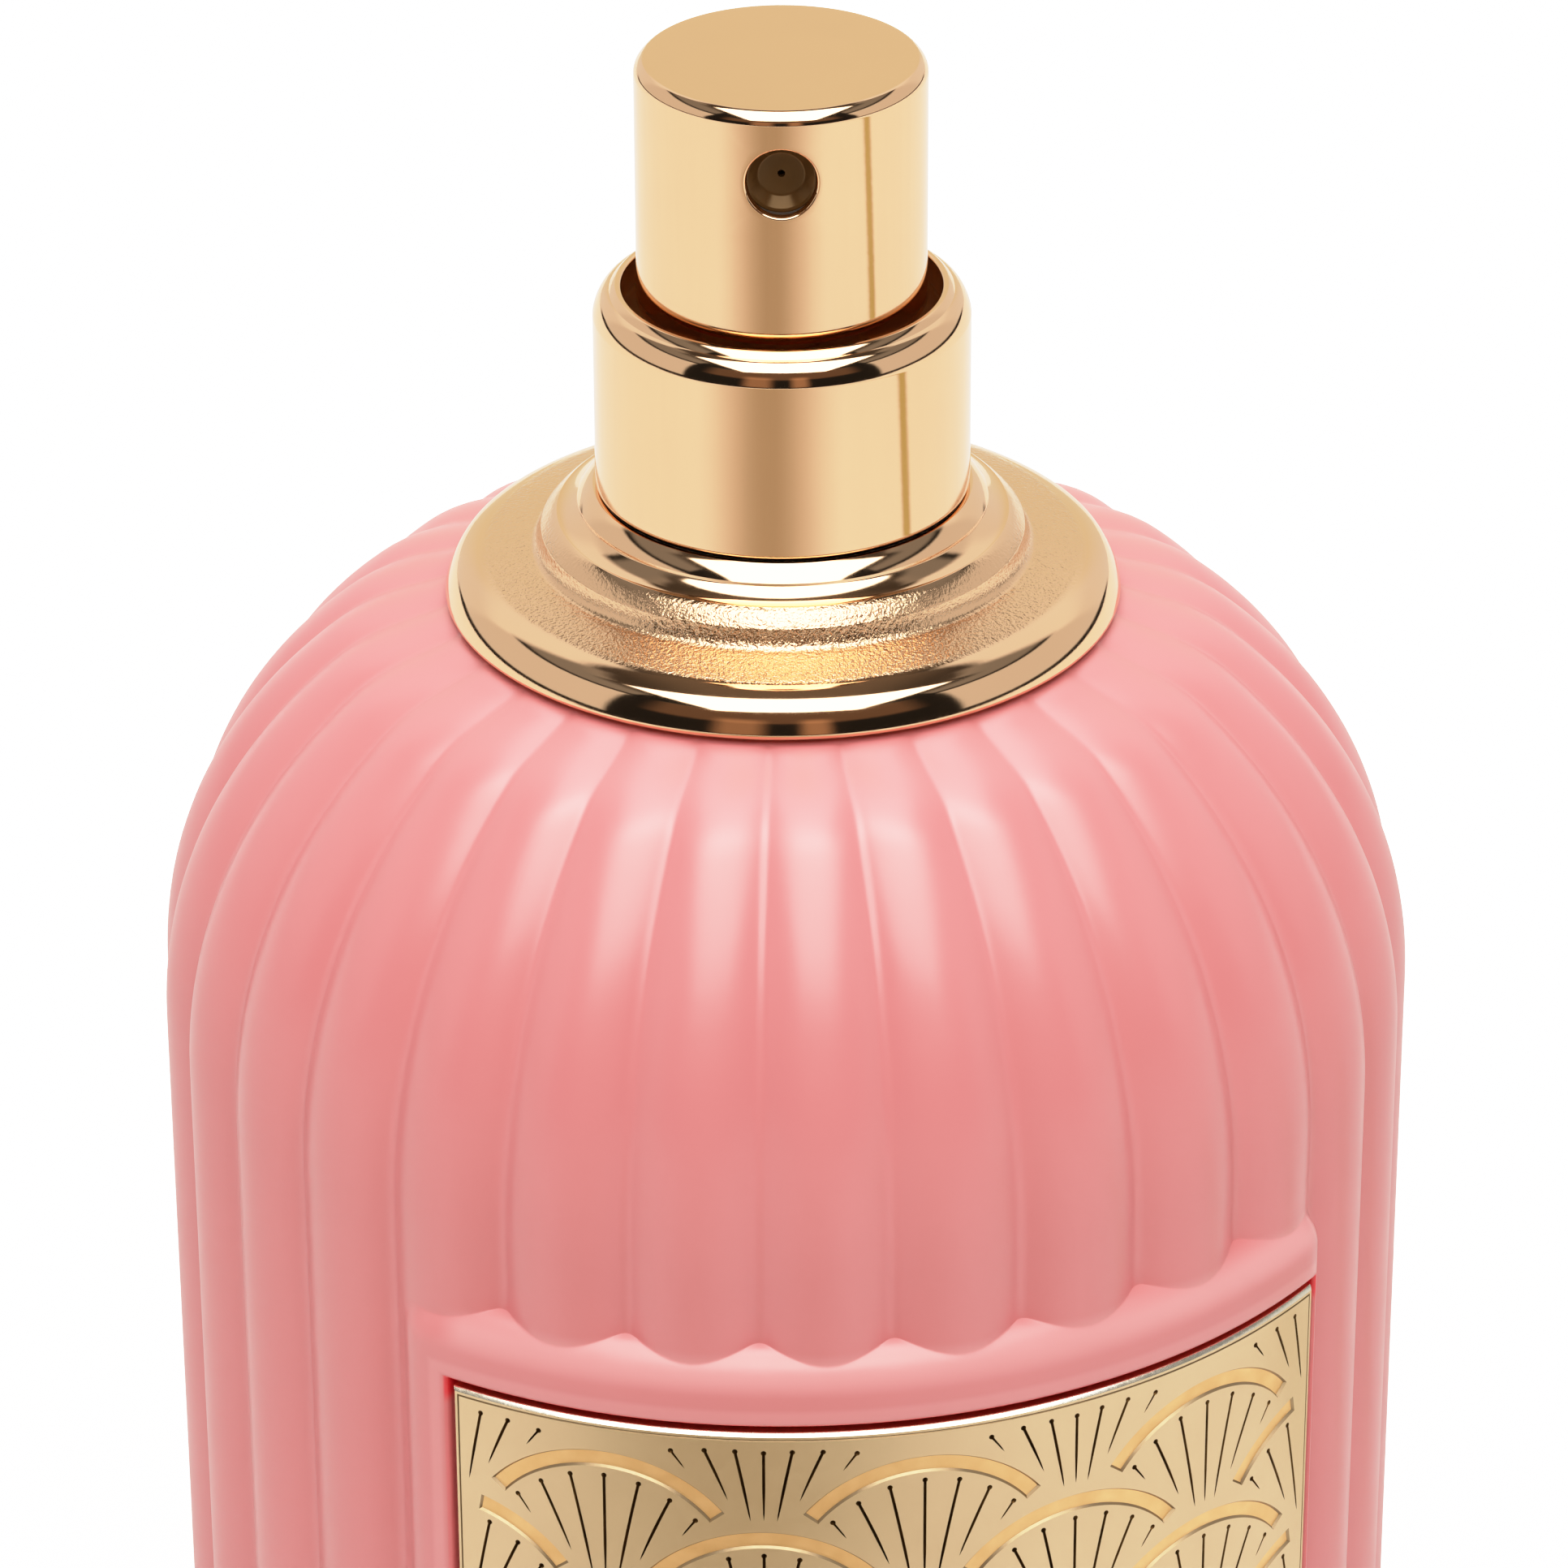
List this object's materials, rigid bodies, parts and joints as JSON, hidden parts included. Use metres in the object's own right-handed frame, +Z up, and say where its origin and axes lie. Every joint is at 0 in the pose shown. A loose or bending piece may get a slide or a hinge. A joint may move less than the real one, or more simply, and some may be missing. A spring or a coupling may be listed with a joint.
{
  "type": "perfume atomiser",
  "caption": "Domed, vertically ribbed lacquered glass perfume bottle with a curved metal front plaque, stepped shoulder ring, collar and a press-down spray button on a crimped fine-mist pump.",
  "frame": {"origin": "centre of the base, on the surface the bottle stands on", "axes": "+Z up along the bottle, the pump stroke and the button's swivel; -Y is the way the front plaque faces"},
  "size_m": [0.058, 0.0586, 0.104],
  "materials": {
    "pink_lacquer": "opaque satin-gloss pink lacquer over glass",
    "gold_plaque": "pale gold satin with engraved lines",
    "gold_ring": "polished gold, fine grain on the lower steps",
    "gold_anodised": "polished gold anodised",
    "foam_tape": "acrylic foam mounting tape",
    "white_plastic": "white moulded polypropylene",
    "natural_plastic": "natural moulded polyethylene",
    "bare_aluminium": "drawn aluminium",
    "black_rubber": "nitrile rubber",
    "spring_steel": "stainless spring wire and ball",
    "dark_plastic": "dark bronze moulded nozzle"
  },
  "bodies": {
    "bottle": {"glass_bottle": "pink_lacquer", "front_plaque": "gold_plaque", "plaque_tape": "foam_tape", "shoulder_ring": "gold_ring", "collar_shell": "gold_anodised", "collar_liner": "white_plastic", "crimp_ferrule": "bare_aluminium", "neck_gasket": "black_rubber", "pump_housing": "natural_plastic", "turret": "natural_plastic", "stem_gasket": "black_rubber", "dip_tube": "natural_plastic", "return_spring": "spring_steel"},
    "stem": {"stem": "white_plastic", "valve_pin": "white_plastic", "precompression_spring": "spring_steel"},
    "piston": {"piston": "natural_plastic"},
    "button": {"button_shell": "gold_anodised", "button_core": "white_plastic", "nozzle_insert": "dark_plastic"},
    "ball": {"inlet_ball": "spring_steel"}
  },
  "joints": [
    {"name": "spray_press", "type": "slide", "parent": "bottle", "child": "stem", "axis": [0, 0, -1], "range_m": [0, 0.0038], "stiffness_N_per_m": 2500, "springref_m": -0.004, "deforming": ["return_spring"]},
    {"name": "nozzle_swivel", "type": "hinge", "parent": "stem", "child": "button", "pos_m": [0, 0, 0.0956], "axis": [0, 0, 1], "continuous": true},
    {"name": "piston_valve", "type": "slide", "parent": "stem", "child": "piston", "axis": [0, 0, 1], "range_m": [0, 0.0008], "stiffness_N_per_m": 3000, "springref_m": -0.002, "deforming": ["precompression_spring"]},
    {"name": "inlet_lift", "type": "slide", "parent": "bottle", "child": "ball", "axis": [0, 0, 1], "range_m": [0, 0.001]}
  ]
}
